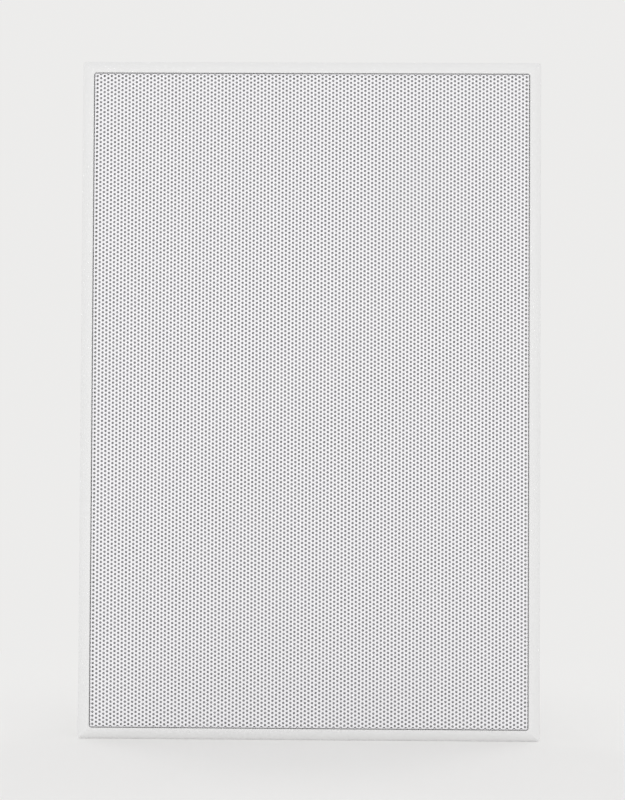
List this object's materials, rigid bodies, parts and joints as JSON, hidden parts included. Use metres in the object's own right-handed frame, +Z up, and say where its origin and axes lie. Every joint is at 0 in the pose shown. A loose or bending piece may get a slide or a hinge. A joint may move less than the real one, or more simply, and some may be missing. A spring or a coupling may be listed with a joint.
{
  "type": "in-wall speaker",
  "caption": "Rectangular in-wall speaker: flanged white frame and flush perforated grille over a woofer and dome tweeter, held in a wall cut-out by swing-out clamps.",
  "frame": {"origin": "middle of the frame, in the plane of the flange's back, which is the wall's surface", "axes": "+Z up along the long side, +X to the right, +Y into the wall; the grille faces -Y"},
  "size_m": [0.23, 0.0785, 0.339],
  "materials": {
    "frame_plastic": "satin",
    "grille_paint": "matte",
    "scrim": "matte",
    "nickel": "polished",
    "basket_plastic": "satin",
    "black_steel": "satin",
    "surround_rubber": "matte",
    "cone_polymer": "satin",
    "former_foil": "satin",
    "copper_wire": "gloss",
    "spider_cloth": "matte",
    "zinc_steel": "satin",
    "ferrite": "matte",
    "strip_board": "satin",
    "tinned_brass": "gloss",
    "faceplate_plastic": "satin",
    "silk_dome": "satin",
    "board_laminate": "satin",
    "core_iron": "satin",
    "capacitor_case": "gloss",
    "resistor_cement": "matte",
    "terminal_plastic": "satin",
    "plunger_red": "gloss",
    "plunger_black": "gloss",
    "clamp_steel": "satin",
    "dog_plastic": "satin"
  },
  "bodies": {
    "frame_body": {"frame": "frame_plastic", "grille_magnets": "nickel", "woofer_basket": "basket_plastic", "woofer_screws": "black_steel", "woofer_surround": "surround_rubber", "woofer_spider": "spider_cloth", "woofer_top_plate": "zinc_steel", "woofer_magnet": "ferrite", "woofer_yoke": "zinc_steel", "woofer_terminal_strip": "strip_board", "woofer_tags": "tinned_brass", "tweeter_faceplate": "faceplate_plastic", "tweeter_pole_disc": "zinc_steel", "tweeter_magnet": "nickel", "tweeter_cup": "zinc_steel", "tweeter_terminal_strip": "strip_board", "tweeter_tags": "tinned_brass", "crossover_board": "board_laminate", "inductor_core": "core_iron", "inductor_winding": "copper_wire", "capacitors": "capacitor_case", "resistor": "resistor_cement", "terminal_block": "terminal_plastic"},
    "cone": {"woofer_cone": "cone_polymer", "woofer_dust_cap": "cone_polymer", "woofer_former": "former_foil", "woofer_winding": "copper_wire"},
    "dome": {"tweeter_dome": "silk_dome", "tweeter_coil": "copper_wire"},
    "grille_pan": {"grille": "grille_paint", "grille_cloth": "scrim"},
    "plunger_black": {"terminal_plunger_black": "plunger_black"},
    "plunger_red": {"terminal_plunger_red": "plunger_red"},
    "clamp_screw_top_right": {"clamp_screw_top_right": "clamp_steel"},
    "clamp_dog_top_right": {"clamp_dog_top_right": "dog_plastic"},
    "clamp_screw_bottom_right": {"clamp_screw_bottom_right": "clamp_steel"},
    "clamp_dog_bottom_right": {"clamp_dog_bottom_right": "dog_plastic"},
    "clamp_screw_top_left": {"clamp_screw_top_left": "clamp_steel"},
    "clamp_dog_top_left": {"clamp_dog_top_left": "dog_plastic"},
    "clamp_screw_bottom_left": {"clamp_screw_bottom_left": "clamp_steel"},
    "clamp_dog_bottom_left": {"clamp_dog_bottom_left": "dog_plastic"}
  },
  "joints": [
    {"name": "cone_travel", "type": "slide", "parent": "frame_body", "child": "cone", "axis": [0, -1, 0], "range_m": [-0.004, 0.004], "stiffness_N_per_m": 1200, "deforming": ["woofer_surround", "woofer_spider"]},
    {"name": "dome_travel", "type": "slide", "parent": "frame_body", "child": "dome", "axis": [0, -1, 0], "range_m": [-0.0003, 0.0003], "stiffness_N_per_m": 400},
    {"name": "grille_pull", "type": "slide", "parent": "frame_body", "child": "grille_pan", "axis": [0, -1, 0], "range_m": [0, 0.04]},
    {"name": "plunger_black_press", "type": "slide", "parent": "frame_body", "child": "plunger_black", "axis": [0, -1, 0], "range_m": [0, 0.003], "stiffness_N_per_m": 300},
    {"name": "plunger_red_press", "type": "slide", "parent": "frame_body", "child": "plunger_red", "axis": [0, -1, 0], "range_m": [0, 0.003], "stiffness_N_per_m": 300},
    {"name": "clamp_turn_top_right", "type": "hinge", "parent": "frame_body", "child": "clamp_screw_top_right", "pos_m": [0.0935, 0, 0.11], "axis": [0, 1, 0], "range_deg": [0, 90]},
    {"name": "clamp_draw_top_right", "type": "slide", "parent": "clamp_screw_top_right", "child": "clamp_dog_top_right", "axis": [0, -1, 0], "range_m": [0, 0.03]},
    {"name": "clamp_turn_bottom_right", "type": "hinge", "parent": "frame_body", "child": "clamp_screw_bottom_right", "pos_m": [0.0935, 0, -0.11], "axis": [0, 1, 0], "range_deg": [0, 90]},
    {"name": "clamp_draw_bottom_right", "type": "slide", "parent": "clamp_screw_bottom_right", "child": "clamp_dog_bottom_right", "axis": [0, -1, 0], "range_m": [0, 0.03]},
    {"name": "clamp_turn_top_left", "type": "hinge", "parent": "frame_body", "child": "clamp_screw_top_left", "pos_m": [-0.0935, 0, 0.11], "axis": [0, 1, 0], "range_deg": [0, 90]},
    {"name": "clamp_draw_top_left", "type": "slide", "parent": "clamp_screw_top_left", "child": "clamp_dog_top_left", "axis": [0, -1, 0], "range_m": [0, 0.03]},
    {"name": "clamp_turn_bottom_left", "type": "hinge", "parent": "frame_body", "child": "clamp_screw_bottom_left", "pos_m": [-0.0935, 0, -0.11], "axis": [0, 1, 0], "range_deg": [0, 90]},
    {"name": "clamp_draw_bottom_left", "type": "slide", "parent": "clamp_screw_bottom_left", "child": "clamp_dog_bottom_left", "axis": [0, -1, 0], "range_m": [0, 0.03]}
  ]
}
